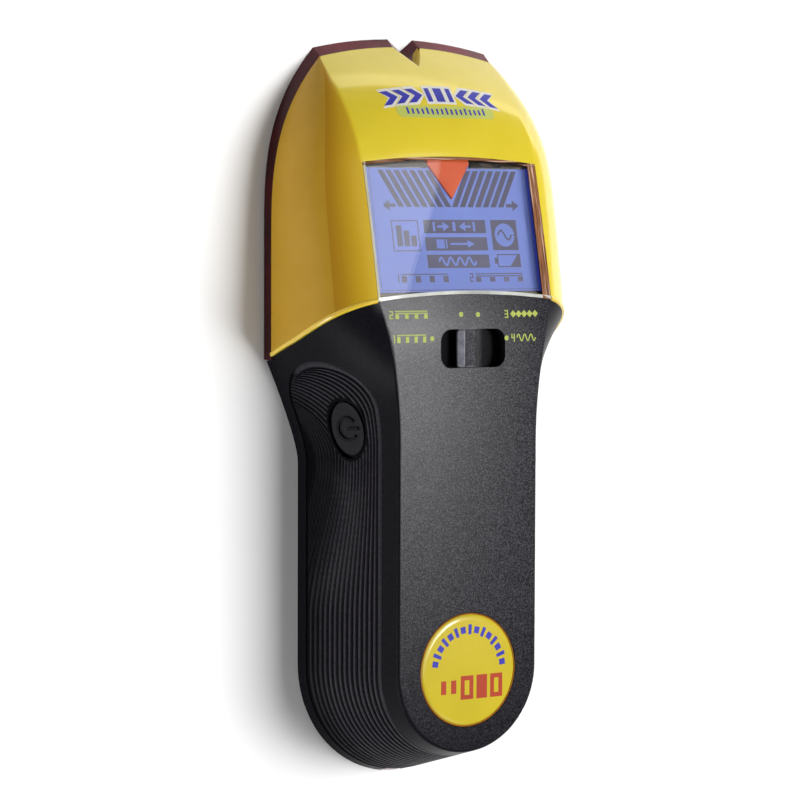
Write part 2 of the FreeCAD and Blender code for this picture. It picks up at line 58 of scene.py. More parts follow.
SEAM_Y = (11.5, 14.2, 18.5, 22.4, 25.1, 28.2, 31.2)


def profile(e):
    """Height of the front at a distance along the head, on the centre line."""
    e = np.asarray(e, float)
    bend, slope = SLOPE_Y - BEND_Y, NOSE_Y - SLOPE_Y
    knee = DEPTH - BEND_DROP * bend / 2
    brow = knee - BEND_DROP * slope - SLOPE_DROP * slope / 2
    return np.where(e < BEND_Y, DEPTH, np.where(
        e < SLOPE_Y, DEPTH - BEND_DROP / bend * (e - BEND_Y) ** 2 / 2, np.where(
            e < NOSE_Y, knee - BEND_DROP * (e - SLOPE_Y) - SLOPE_DROP / slope * (e - SLOPE_Y) ** 2 / 2,
            brow - (BEND_DROP + SLOPE_DROP) * (e - NOSE_Y) - NOSE_CURVE * (e - NOSE_Y) ** 2)))


def front(x, y):
    return profile(y + CROWN * x * x)


def back_half(y):
    """Half width of the head at the back, narrower towards the nose."""
    return HEAD_HALF - TAPER * (np.maximum(y - TAPER_Y, 0) / TAPER_LENGTH) ** 3


def seam_y(z):
    return np.interp(z, SEAM_Z, SEAM_Y)


def flank(rise):
    """Share of the flank's width left at a share of its height, from the band to the front face."""
    return 1 - 0.6 * rise ** 2 - 0.4 * rise ** 8


def handle_half(y, z, inset=0.0):
    """Half width of the handle and its flare, less an inset into the wall."""
    straight = HALF_BACK - LEAN * z
    start = FLARE_Y + FLARE_SWEEP * z / DEPTH
    along = np.maximum(0, (y - start) / (seam_y(z) - start))
    y_head = np.minimum(y, FLARE_HEAD_Y)
    base = back_half(y_head + BAND_LEAN) - COVER_STEP
    rise = np.clip((z - BAND) / (front(FACET, y_head) - BAND), 0, 1)
    head = FACET + (base - FACET) * flank(rise) - HOUSING_STEP
    return straight + (head - straight) * along ** (1.25 + 0.95 * z / DEPTH) - inset * SLANT


# ---- materials -------------------------------------------------------------------------------
class Mat:
    """A principled material with a little procedural variation of tone, and masks by place and facing that
    some materials use to paint light and shade; object coordinates are metres.
    """

    def __init__(self, name, rough, **values):
        self.m = bpy.data.materials.new(name)
        self.m.use_nodes = True
        self.t = self.m.node_tree
        self.b = self.t.nodes["Principled BSDF"]
        self.space = self.node("TexCoord").outputs
        self.coord = self.space["Object"]
        self.b.inputs["Roughness"].default_value = rough
        for key, value in values.items():
            self.b.inputs[key.replace("_", " ")].default_value = value

    def node(self, kind):
        return self.t.nodes.new("ShaderNode" + kind)

    def feed(self, socket, source):
        """Connect a value or colour to an input of the principled shader."""
        self.t.links.new(source, self.b.inputs[socket])
        return self

    # values between 0 and 1
    def noise(self, scale, detail=3.0):
        tex = self.node("TexNoise")
        tex.inputs["Scale"].default_value = scale
        tex.inputs["Detail"].default_value = detail
        tex.inputs["Roughness"].default_value = 0.6
        self.t.links.new(self.coord, tex.inputs["Vector"])
        return tex.outputs["Fac"]

    def attribute(self, name):
        stored = self.node("Attribute")
        stored.attribute_name = name
        return stored.outputs["Fac"]

    def spread(self, fac, low, high, to=(0, 1)):
        """The range to as a value goes from low to high, and no further."""
        span = self.node("MapRange")
        span.inputs["From Min"].default_value, span.inputs["From Max"].default_value = low, high
        span.inputs["To Min"].default_value, span.inputs["To Max"].default_value = to
        self.t.links.new(fac, span.inputs["Value"])
        return span.outputs["Result"]

    def part(self, space, axis):
        parts = self.node("SeparateXYZ")
        self.t.links.new(self.space[space], parts.inputs[0])
        return parts.outputs[axis]

    def math(self, operation, first, second=None):
        result = self.node("Math")
        result.operation = operation
        self.t.links.new(first, result.inputs[0])
        if second is not None:
            self.t.links.new(second, result.inputs[1])
        return result.outputs[0]

    def times(self, first, second):
        return self.math("MULTIPLY", first, second)

    def along(self, axis, low, high):
        """0 to 1 between two places on an object axis, in metres."""
        return self.spread(self.part("Object", axis), low, high)

    def turned_to(self, axis, low, high):
        """0 to 1 as the surface's own normal leans along an axis, either way."""
        return self.spread(self.math("ABSOLUTE", self.part("Normal", axis)), low, high)

    def turned_left(self, low, high):
        """0 to 1 as the surface's own normal leans to -X."""
        return self.spread(self.part("Normal", "X"), -low, -high)

    # colours
    def ramp(self, fac, stops):
        ramp = self.node("ValToRGB")
        while len(ramp.color_ramp.elements) < len(stops):
            ramp.color_ramp.elements.new(0.5)
        for element, (at, col) in zip(ramp.color_ramp.elements, stops):
            element.position = at
            element.color = (*col, 1)
        self.t.links.new(fac, ramp.inputs["Fac"])
        return ramp.outputs["Color"]

    def mottled(self, low, high, scale):
        return self.ramp(self.noise(scale), [(0.35, low), (0.65, high)])

    def mix(self, fac, first, second):
        mix = self.node("Mix")
        mix.data_type = "RGBA"
        for socket, source in zip((mix.inputs["Factor"], mix.inputs[6], mix.inputs[7]), (fac, first, second)):
            self.t.links.new(source, socket)
        return mix.outputs[2]

    # inputs of the shader
    def colour(self, low, high, scale):
        return self.feed("Base Color", self.mottled(low, high, scale))

    def blend(self, fac, first, second):
        return self.feed("Base Color", self.mix(fac, first, second))

    def scale(self, fac, socket, low, high):
        return self.feed(socket, self.spread(fac, 0, 1, (low, high)))

    def rough_range(self, low, high, scale):
        return self.scale(self.noise(scale), "Roughness", low, high)

    def bump(self, scale, distance, strength):
        bump = self.node("Bump")
        bump.inputs["Distance"].default_value = distance
        bump.inputs["Strength"].default_value = strength
        self.t.links.new(self.noise(scale, 2.0), bump.inputs["Height"])
        return self.feed("Normal", bump.outputs["Normal"])


def plastic(name, colour, rough, vary=0.08, **values):
    """Moulded or printed material whose colour varies a little."""
    low = tuple(c * (1 - vary) for c in colour)
    high = tuple(min(1, c * (1 + vary)) for c in colour)
    return Mat(name, rough, **values).colour(low, high, 90).rough_range(rough * 0.9, rough * 1.12, 160)


# yellow: painted shade on the left flank, deeper orange there and duller, with a painted step of shade along
# the flank's crease that lightens towards the front face
yellow = Mat("yellow_gloss", 0.2, Coat_Roughness=0.08, Coat_IOR=1.6,
             Subsurface_Weight=0.08, Subsurface_Scale=0.002)
past_crease = yellow.attribute("crease")
CREASE_STEP, CREASE_END = 0.012, 0.25
# painted shade above the crease, darkest at it and lighter towards the front face
shaded_shoulder = yellow.ramp(yellow.spread(past_crease, 0, CREASE_END),
                       [(0, (0.42, 0.205, 0.013)), (0.35, (0.46, 0.25, 0.014)), (1, (0.61, 0.40, 0.022))])
# painted shade for the left flank: a darker flank colour below the crease, the shaded shoulder above it
shaded_left_flank = yellow.mix(yellow.spread(past_crease, 0, CREASE_STEP),
                         yellow.mottled((0.475, 0.268, 0.023), (0.505, 0.291, 0.029), 60), shaded_shoulder)
# painted shade: faces turned to -X take the shaded flank colour; the right flank keeps the front's yellow
yellow.blend(yellow.turned_left(0.19, 0.3),
             yellow.mottled((0.72, 0.565, 0.025), (0.75, 0.59, 0.031), 90), shaded_left_flank)
left_side = yellow.turned_left(0.14, 0.3)
yellow.scale(left_side, "Coat Weight", 0.8, 0.05)
yellow.scale(left_side, "Specular IOR Level", 0.5, 0.12)
yellow.rough_range(0.2, 0.26, 160).bump(900, 0.000012, 0.5)
lip_yellow = plastic("lip_yellow", (0.76, 0.52, 0.045), 0.2, 0.05, Coat_Weight=0.6)

# black: grainy on the flat front of the handle; the grain is the finish, but its lighter tone there is partly
# painted light on the lit face, with painted shade darkening it towards the round end and in the slider's
# pocket; its gloss fades towards its right edge and round end
black = Mat("black_texture", 0.5)
front_side = black.times(black.turned_to("Z", 0.86, 0.96), black.along("Z", 0.0302, 0.0308))
polished = black.times(black.along("X", 0.024, -0.012), black.along("Y", -0.085, 0.0))
black.scale(black.times(front_side, polished), "Specular IOR Level", 0.04, 0.62)
# painted shade: the colour darkens towards the round end, and off the front face, including the pocket's floor
black.blend(black.times(front_side, black.along("Y", -0.108, -0.045)),
            black.mottled((0.0055, 0.005, 0.007), (0.009, 0.008, 0.011), 1500),
            black.ramp(black.noise(3600, 2.0), [(0.36, (0.003, 0.003, 0.004)), (0.50, (0.021, 0.0205, 0.025)),
                                                (0.66, (0.078, 0.076, 0.086))]))
black.rough_range(0.28, 0.36, 1500).bump(3000, 0.00004, 0.7)

# rubber: painted highlight on the tops of the ribs and painted shade in the grooves, lighter on the tops than
# in the grooves
rubber = Mat("grip_rubber", 0.4)
rib_painted_light = rubber.attribute("rib")
# painted light from the stored attribute: rib tops lit, grooves shaded
rubber.blend(rib_painted_light, rubber.mottled((0.0015, 0.0013, 0.002), (0.004, 0.0035, 0.005), 1200),
             rubber.mottled((0.014, 0.0125, 0.018), (0.027, 0.024, 0.033), 1200))
rubber.scale(rib_painted_light, "Specular IOR Level", 0.02, 0.17)
rubber.rough_range(0.36, 0.46, 500).bump(2500, 0.00003, 0.6)
button_rubber = Mat("button_rubber", 0.42, Specular_IOR_Level=0.1)
button_rubber.colour((0.010, 0.009, 0.0125), (0.014, 0.0125, 0.017), 1500)
button_rubber.rough_range(0.3, 0.38, 500).bump(2500, 0.00002, 0.5)
# painted shade: the raised power sign is darker than the button it stands on
shaded_sign_rubber = plastic("shaded_sign_rubber", (0.0015, 0.0014, 0.002), 0.25, 0.3, Specular_IOR_Level=0.12)

# red: painted light, brighter red where the surface faces along the head, at the nose and in the notch
red = Mat("red_clear", 0.2, Specular_IOR_Level=0.22)
red.blend(red.turned_to("Y", 0.45, 0.62),
          red.mottled((0.024, 0.0026, 0.0045), (0.046, 0.004, 0.006), 90),
          red.mottled((0.085, 0.006, 0.012), (0.17, 0.012, 0.022), 60))
red.rough_range(0.18, 0.225, 160).bump(500, 0.00002, 0.4)

# window, and painted highlights and reflections on its polished edges
clear = Mat("clear_window", 0.015, Transmission_Weight=1.0, IOR=1.49)
clear.colour((0.95, 0.94, 0.92), (0.985, 0.98, 0.965), 60).rough_range(0.004, 0.012, 200)
amber = plastic("amber_edge", (0.040, 0.030, 0.018), 0.25, 0.35, Coat_Weight=0.3)
# painted highlight on the pane's bottom edge and a pale painted reflection on its left edge
rim_highlight = plastic("rim_highlight", (0.50, 0.51, 0.46), 0.15, 0.25, Coat_Weight=0.5)
rim_pale_reflection = plastic("rim_pale_reflection", (0.50, 0.46, 0.30), 0.2, 0.1, Coat_Weight=0.4)


def streaked(name, scale):
    """Copper reflections drawn out along a polished edge."""
    mat = Mat(name, 0.2, Coat_Weight=0.5)
    stretch = mat.node("Mapping")
    stretch.inputs["Scale"].default_value = scale
    mat.t.links.new(mat.coord, stretch.inputs["Vector"])
    mat.coord = stretch.outputs["Vector"]
    return mat.feed("Base Color", mat.ramp(mat.noise(1.0, 1.0), [
        (0.36, (0.03, 0.012, 0.007)), (0.46, (0.34, 0.14, 0.06)),
        (0.56, (0.16, 0.06, 0.025)), (0.68, (0.62, 0.42, 0.30))]))


# painted copper reflections on the pane's right and top edges
copper_reflection_side = streaked("copper_reflection_side", (2400, 60, 200))
copper_reflection_top = streaked("copper_reflection_top", (60, 2400, 200))

# small parts
orange = plastic("orange_lens", (0.53, 0.060, 0.0), 0.3, 0.06, Emission_Strength=0.1)
orange.b.inputs["Emission Color"].default_value = (0.9, 0.12, 0.0, 1)
green = plastic("pcb", (0.02, 0.12, 0.04), 0.35, 0.2)
copper = plastic("copper", (0.75, 0.33, 0.16), 0.3, 0.1, Metallic=1.0)
steel = plastic("screw_steel", (0.55, 0.55, 0.57), 0.3, 0.1, Metallic=1.0)
dark = plastic("switch_black", (0.012, 0.012, 0.014), 0.42, 0.2)
foam = plastic("foam", (0.03, 0.03, 0.03), 0.9, 0.3)
white = plastic("white_diffuser", (0.7, 0.72, 0.8), 0.4, 0.05)
wire = plastic("wire", (0.35, 0.02, 0.02), 0.4, 0.1)
cell = plastic("battery_case", (0.10, 0.10, 0.12), 0.3, 0.15, Metallic=0.6)
badge_yellow = plastic("badge_yellow", (0.56, 0.44, 0.024), 0.2, 0.03, Coat_Weight=0.5, Coat_Roughness=0.05)
# painted shade: the badge's bevelled rim as a darker orange-brown collar
badge_rim_shade = plastic("badge_rim_shade", (0.36, 0.13, 0.012), 0.2, 0.15, Coat_Weight=0.5)

# slider: painted highlight on its ridge's crest; grain on the saddle beside it, fading into painted shade that
# keeps the shutter dark round both
slider_black = Mat("slider_black", 0.3)
# painted highlight on the ridge's top
crest_highlight = slider_black.along("Z", 0.0316, 0.0320)
# the lit part of the saddle; the plate beyond it on both sides gets painted shade
lit_saddle = slider_black.times(slider_black.along("X", -0.0016, -0.0014),
                            slider_black.along("X", 0.0062, 0.0030))
# grain where the saddle is lit, painted shade elsewhere
grain_and_shade = slider_black.times(slider_black.noise(2300), lit_saddle)
slider_black.blend(crest_highlight,
                   slider_black.ramp(grain_and_shade, [(0.38, (0.004, 0.004, 0.005)), (0.58, (0.095, 0.093, 0.103))]),
                   slider_black.mottled((0.09, 0.09, 0.11), (0.17, 0.17, 0.20), 400))
slider_black.scale(lit_saddle, "Specular IOR Level", 0.02, 0.5)
slider_black.bump(2300, 0.00008, 0.9)

# printing
blue_print = plastic("blue_print", (0.022, 0.024, 0.36), 0.35, 0.1)
white_print = plastic("white_print", (0.70, 0.68, 0.62), 0.4, 0.03)
lime_print = plastic("lime_print", (0.36, 0.42, 0.055), 0.45, 0.06)
pill_print = plastic("pill_print", (0.48, 0.52, 0.11), 0.35, 0.03)
red_print = plastic("red_print", (0.38, 0.038, 0.008), 0.35, 0.08)


def lit(name, low, high, glow):
    """Display surface that gives off part of its own colour."""
    mat = Mat(name, 0.3, Emission_Strength=glow)
    colour = mat.ramp(mat.noise(14, 1.0), [(0.25, low), (0.75, high)])
    return mat.feed("Base Color", colour).feed("Emission Color", colour)


lcd = lit("lcd", (0.080, 0.122, 0.40), (0.115, 0.165, 0.46), 0.45)
segment = lit("lcd_segment", (0.055, 0.055, 0.10), (0.07, 0.07, 0.12), 0.3)
# painted shade: darker blue for the glass's edges
lcd_edge_shade = lit("lcd_edge_shade", (0.02, 0.03, 0.30), (0.03, 0.045, 0.36), 0.5)

FINISH = {
    "head_cover": yellow, "front_housing": black, "grip": rubber, "back_housing": red,
    "battery_door": red, "battery_door_pad": foam, "display_window": clear, "window_gasket": amber,
    "lcd_glass": lcd, "lcd_backlight": white, "zebra_strip": foam, "lcd_frame": amber,
    "arrow_lens": orange, "arrow_led": white, "main_board": green, "chips": dark,
    "capacitors": steel, "shield_can": steel, "switch_board": green, "mode_switch_body": dark,
    "mode_slider": slider_black, "power_button": button_rubber, "switch_plunger": dark,
    "power_switch": dark, "buzzer": dark, "board_header": dark, "sensor_board": green,
    "sensor_plates": copper, "metal_coil": copper, "sensor_header": dark, "badge": badge_yellow,
    "battery": cell, "battery_terminals": steel, "battery_clip": dark, "battery_cups": steel,
    "battery_leads": wire, "housing_screws": steel, "board_screws": steel,
}
for name, mat in FINISH.items():
    node = NODES[name]
    node.data.materials.clear()
    node.data.materials.append(mat.m)
    node.data.set_sharp_from_angle(angle=radians(28))


# ---- mesh helpers ------------------------------------------------------------------------------
def make(name, verts, faces, mat, body="body", slot=None, smooth=True, angle=40):
    """Piece from points in millimetres, riding on a body of the frame."""
    mesh = bpy.data.meshes.new(name)
    mesh.from_pydata([tuple(c * MM for c in v) for v in verts], [], faces)
    mesh.validate()
    mesh.materials.append(mat.m)
    obj = bpy.data.objects.new(name, mesh)
    bpy.context.scene.collection.objects.link(obj)
    if smooth:
        mesh.shade_smooth()
        mesh.set_sharp_from_angle(angle=radians(angle))
    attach(obj, body)
    return obj


def store(obj, name, values):
    """One value per point, read by the material."""
    obj.data.attributes.new(name, "FLOAT", "POINT").data.foreach_set("value", values)


def round_edges(obj, width):
    bevel = obj.modifiers.new("edges", "BEVEL")
    bevel.width, bevel.segments, bevel.limit_method, bevel.angle_limit = width, 3, "ANGLE", radians(50)


def thick(outer, inner, faces):
    """Closed shell from two point lists that share faces: outer skin, inner skin and the rim between."""
    n = len(outer)
    count = {}
    for f in faces:
        for a, b in zip(f, f[1:] + f[:1]):
            count[(a, b)] = count.get((a, b), 0) + 1
    rim = [(b, a, a + n, b + n) for a, b in count if (b, a) not in count]
    back = [tuple(i + n for i in reversed(f)) for f in faces]
    return list(outer) + list(inner), [tuple(f) for f in faces] + back + rim


def tidy_faces(faces):
    """Quads with a repeated corner become triangles; slivers with two corners go."""
    out = []
    for f in faces:
        ring = [v for i, v in enumerate(f) if v != f[i - 1]]
        if len(set(ring)) >= 3:
            out.append(tuple(ring))
    return out


# ---- yellow cover ------------------------------------------------------------------------------
CORNER = 89.75                                     # y of the nose's two corners
PANE_TOP, PANE_BOW, PANE_HALF = 64.55, 1.6, 26.15  # the window's opening: upper edge, its bow, half width
V_SLOPE, V_TIP, V_LEAN, V_HALF = 1.26, 89.54, 0.30, 4.15  # notch: sides, tip, lean, half width
COVER_WALL, COVER_GAP = 2.0, 0.05
COVER_ROWS = np.concatenate([np.linspace(0, 0.9, 22), [0.93, 0.955, 0.975, 1.0]])
LOW_COLUMNS, HIGH_COLUMNS = 24, 34                 # beside the window, and beyond it
FLANK_COLUMNS = LOW_COLUMNS + HIGH_COLUMNS
NOTCH_X = np.array([0, 0.7, 1.4, 2.1, 2.8, 3.5, V_HALF])
BESIDE_NOTCH_X = np.concatenate([np.linspace(6, 24.5, 15), [25.4, FACET]])


def cover_points(inset):
    """Points of the cover's skin and the number of columns across its front.

    Flank points are keyed by side, row and column, front points by column and row, and copies at
    different insets share their keys."""
    pts = {}
    facet = FACET - 0.45 * inset
    end = CORNER - 1.05 * inset
    split = PANE_TOP - PANE_BOW
    start = float(seam_y(front(FACET, SEAM_Y[5]) - inset)) + COVER_GAP
    ridge = np.concatenate([np.linspace(start, split, LOW_COLUMNS + 1),
                            split + (end - split) * np.linspace(0, 1, HIGH_COLUMNS + 1)[1:]])
    low = BAND + COVER_GAP
    for j, r in enumerate(COVER_ROWS):
        y0 = 18.0
        for _ in range(30):                        # the row's start and its height depend on each other
            top = max(float(front(FACET, y0)) - inset, BAND)
            y0 = float(seam_y(BAND + r * (top - BAND))) + COVER_GAP
        for k, y_ridge in enumerate(ridge):
            y = y0 + (y_ridge - start) / (end - start) * (end - y0)
            top = max(float(front(FACET, y)) - inset, BAND)
            z = low + r * max(0, top - low)
            base = max(float(back_half(y + BAND_LEAN)) - COVER_STEP - inset, facet - 0.1)
            x = facet + (base - facet) * flank(r)
            key = "corner" if k == FLANK_COLUMNS else (j, k)
            pts[("R", key)] = (x, y, z)
            pts[("L", key)] = (-x, y, z)
    xs = np.concatenate([NOTCH_X, BESIDE_NOTCH_X]) * facet / FACET
    cols = np.concatenate([-xs[:0:-1], xs])
    for i, x in enumerate(cols):
        y_low = PANE_TOP - PANE_BOW * min(1, (abs(x) / PANE_HALF) ** 2 * (FACET / facet) ** 2)
        y_end = end + CROWN * (facet ** 2 - x * x)
        if abs(x) < V_HALF * facet / FACET:
            for _ in range(40):                    # so do the notch's edge and its height
                z = float(front(x, y_end)) - inset
                y_end = V_TIP - V_LEAN * (z - BAND) + abs(x) / V_SLOPE
        for k, t in enumerate(np.linspace(0, 1, HIGH_COLUMNS + 1)):
            y = y_low + (y_end - y_low) * t
            z = max(float(front(x, y)) - inset, low)
            if i == 0 or i == len(cols) - 1:
                side = "L" if i == 0 else "R"
                key = "corner" if k == HIGH_COLUMNS else (len(COVER_ROWS) - 1, LOW_COLUMNS + k)
                pts.setdefault((side, key), (x, y, z))
            else:
                pts[("F", (i, k))] = (x, y, z)
    return pts, len(cols)


# the crease on the flank where the painted shade steps: its height, its climb towards the nose, and where the
# climb starts and how long it runs
CREASE_RISE, CREASE_CLIMB, CREASE_FROM, CREASE_RUN = 0.75, 0.2, 26, 64


def past_the_crease(key, point):
    """How far up the flank a point lies from its crease, which climbs to the nose's corner."""
    side, at = key
    if side == "F":
        return CREASE_END
    rise = 1 if at == "corner" else COVER_ROWS[at[0]]
    return rise - CREASE_RISE - CREASE_CLIMB * (max(0, point[1] - CREASE_FROM) / CREASE_RUN) ** 6


def cover_mesh():
    outer, cols = cover_points(0)
    inner = cover_points(COVER_WALL)[0]
    keys = list(outer)
    index = {key: i for i, key in enumerate(keys)}
    rows = len(COVER_ROWS)

    def flank_key(s, j, k):
        return index[(s, "corner" if k == FLANK_COLUMNS else (j, k))]

    def front_key(i, k):
        if i == 0 or i == cols - 1:
            return flank_key("L" if i == 0 else "R", rows - 1, LOW_COLUMNS + k)
        return index[("F", (i, k))]

    faces = []
    for j in range(rows - 1):
        for k in range(FLANK_COLUMNS):
            quad = [("R", j, k), ("R", j, k + 1), ("R", j + 1, k + 1), ("R", j + 1, k)]
            faces.append([flank_key(*q) for q in quad])
            faces.append([flank_key("L", q[1], q[2]) for q in reversed(quad)])
    for i in range(cols - 1):
        for k in range(HIGH_COLUMNS):
            faces.append([front_key(i, k), front_key(i + 1, k), front_key(i + 1, k + 1), front_key(i, k + 1)])
    shape = thick([outer[k] for k in keys], [inner[k] for k in keys], tidy_faces(faces))
    return shape, [past_the_crease(k, outer[k]) for k in keys] * 2


cover_shape, cover_crease = cover_mesh()
cover = make("cover_shell", *cover_shape, yellow, slot="yellow_gloss", angle=50)
store(cover, "crease", cover_crease)
round_edges(cover, 0.0005)
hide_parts("head_cover")

# half thickness of the bead, half its width, how deep its centre lies, and points round it
LIP_OUT, LIP_ACROSS, LIP_IN, LIP_SIDES = 0.36, 0.6, 0.14, 16


def unit(vectors):
    return vectors / np.linalg.norm(vectors, axis=1)[:, None]


def lip_mesh(side):
    """Rounded bead along the cover's lower edge on one flank, from the band up to the front."""
    outer, rows = cover_points(0)[0], len(COVER_ROWS)
    path = np.array([outer[(side, (j, 0))] for j in range(rows)])
    run = unit(np.gradient(path, axis=0))
    across = np.array([outer[(side, (j, 1))] for j in range(rows)]) - path
    across = unit(across - (across * run).sum(1)[:, None] * run)
    out = np.cross(run, across) * (1 if side == "L" else -1)
    centre = path + 0.9 * LIP_ACROSS * across - LIP_IN * out
    angles = np.linspace(0, 2 * pi, LIP_SIDES, endpoint=False)
    verts = [tuple(c + LIP_ACROSS * cos(a) * b + LIP_OUT * sin(a) * o)
             for c, b, o in zip(centre, across, out) for a in angles]
    faces = [(j * LIP_SIDES + i, j * LIP_SIDES + (i + 1) % LIP_SIDES,
              (j + 1) * LIP_SIDES + (i + 1) % LIP_SIDES, (j + 1) * LIP_SIDES + i)
             for j in range(rows - 1) for i in range(LIP_SIDES)]
    faces += [tuple(range(LIP_SIDES))[::-1], tuple(range((rows - 1) * LIP_SIDES, rows * LIP_SIDES))]
    return verts, faces if side == "L" else [f[::-1] for f in faces]


for side in "LR":
    make("cover_lip_" + side, *lip_mesh(side), lip_yellow, slot="yellow_gloss", angle=60)

# ---- ribbed grip -------------------------------------------------------------------------------
GRIP_LOW, GRIP_HIGH, GRIP_TURN = 2.65, 27.1, 1.0   # its edges, and the centre of its round end
GRIP_MID, GRIP_R = (GRIP_LOW + GRIP_HIGH) / 2, (GRIP_HIGH - GRIP_LOW) / 2
GRIP_WALL, GRIP_STRAIGHT_Y = 1.3, -12
RIBS, RIB_DEEP, EDGE_DEEP = 13, 0.45, 0.3
RIBS_TOP, RIBS_SPAN, RIBS_SPAN_BUTTON = 25.5, 20.6, 12.8  # front rib; drop to the last one, at end and button
RIB_TURN_BACK, RIB_ARC, RIB_ARC_GROW = 13, 10.6, 6        # where a rib turns down by the button, and how wide
BUTTON = np.array([-26.4, -3.7, 17.0])             # the button's centre on the wall, and the wall's directions
WALL_OUT = np.array([-0.916, -0.201, 0.348]) / sqrt(0.916 ** 2 + 0.201 ** 2 + 0.348 ** 2)
WALL_ALONG = np.array([-0.214, 0.977, 0])
WALL_UP = np.cross(WALL_OUT, WALL_ALONG)
WALL_UP = WALL_UP / np.linalg.norm(WALL_UP) * np.sign(WALL_UP[2])
HOLE_A, HOLE_B, BUTTON_SUNK = 7.55, 5.65, 0.3      # the hole's half axes, and the button's depth in it


def ease(t):
    t = np.clip(t, 0, 1)
    return t * t * (3 - 2 * t)


def rib_at(y, z):
    """Where a point of the panel lies across the ribs: 0 on the front one, 1 on the back one.

    Along the handle the ribs spread towards the end; by the button each one is a straight line
    that turns down in an arc, found by halving the range of ribs."""
    below = (RIBS_TOP - z) / (RIBS_SPAN * (0.62 + 0.38 * ease((GRIP_STRAIGHT_Y - y) / 40)))
    v0, v1 = np.full(np.shape(y), -0.3), np.full(np.shape(y), 2.0)
    for _ in range(24):
        v = (v0 + v1) / 2
        turn = np.maximum(GRIP_TURN - RIB_TURN_BACK * v, GRIP_STRAIGHT_Y)
        line, r = RIBS_TOP - RIBS_SPAN_BUTTON * v, RIB_ARC + RIB_ARC_GROW * v
        past = np.where(y <= turn, z - line, np.hypot(y - turn, z - line + r) - r) > 0
        v0, v1 = np.where(past, v0, v), np.where(past, v, v1)
    return np.where(y > GRIP_STRAIGHT_Y, v0, below)


def in_wall(x, y, z):
    """Place in the button's own plane, as fractions of the hole's half axes."""
    offset = np.stack(np.broadcast_arrays(x, y, z), -1) - BUTTON
    return offset @ WALL_ALONG / HOLE_A, offset @ WALL_UP / HOLE_B


def hole_at(x, y, z):
    """Distance from the power button's centre on the wall, 1 on the edge of its hole."""
    return np.hypot(*in_wall(x, y, z))


def ribbing(y, z, rim, holed):
    """How far a column of the skin lies under the wall, and its painted light: lighter on the rib tops,
    painted shade in the grooves and on the back ribs, and a painted highlight along the panel's front edge.
    """
    v = rib_at(np.full(z.shape, y), z)
    zone = ease((v + 0.03) / 0.02) * (1 - 0.45 * ease((v - 1) / 0.12)) * ease((1.6 - v) / 0.15)
    zone = zone * ease((rim - 0.5) / 0.7)
    if holed and y > -16:
        zone = zone * ease((hole_at(-handle_half(y, z), y, z) - 1.08) / 0.06)
    groove = (0.5 + 0.5 * np.cos(2 * pi * RIBS * v)) ** 1.5
    # painted highlight along the panel's front edge
    edge_highlight = ease((1.5 - rim) / 0.5) * ease((z - GRIP_MID + max(y - GRIP_TURN, 0)) / 4)
    # painted light: rib tops lit, grooves shaded, the back ribs darker
    painted_rib_light = np.maximum(zone * (1 - 0.5 * ease((v - 0.7) / 0.3)) * (1 - groove) ** 1.5, 0.8 * edge_highlight)
    return RIB_DEEP * groove * zone + EDGE_DEEP * (1 - ease(rim / 0.7)), painted_rib_light


def grip_half(inset, ribbed, holed):
    """Columns of points round the left half of the handle, from the end by the button to the bottom."""
    side = [(GRIP_TURN + GRIP_R * sin(a), GRIP_R * cos(a)) for a in np.linspace(pi / 2, 0, 91)]
    side += [(y, GRIP_R) for y in np.linspace(GRIP_TURN, GRIP_STRAIGHT_Y, 53)[1:]]
    side += [(y, GRIP_R) for y in np.linspace(GRIP_STRAIGHT_Y, END_Y, 31)[1:]]
    points, painted_rib_lights = [], []
    for y, half in side:
        z = GRIP_MID + np.linspace(-1, 1, 161) * half
        rim = GRIP_R - np.hypot(max(y - GRIP_TURN, 0), z - GRIP_MID)
        sunk, painted_rib_light = ribbing(y, z, rim, holed) if ribbed else (0, 0 * z)
        out = -inset - sunk + 0 * z
        points.append(np.stack([-(handle_half(y, z) + out * SLANT), np.full(z.shape, y), z], 1))
        painted_rib_lights.append(painted_rib_light)
    for a in np.linspace(pi, 1.5 * pi, 31)[1:]:
        r = HALF_BACK - LEAN * z + out * SLANT
        points.append(np.stack([r * cos(a), END_Y + r * sin(a), z], 1))
        painted_rib_lights.append(painted_rib_light)
    return points, painted_rib_lights


def grip_skin(inset, ribbed):
    """All columns, from the left round end, under the bottom, to the right one, which has no button."""
    points, painted_rib_lights = grip_half(inset, ribbed, True)
    mirrored, plain = grip_half(inset, ribbed, False)
    return points + [p * (-1, 1, 1) for p in mirrored[-2::-1]], painted_rib_lights + plain[-2::-1]


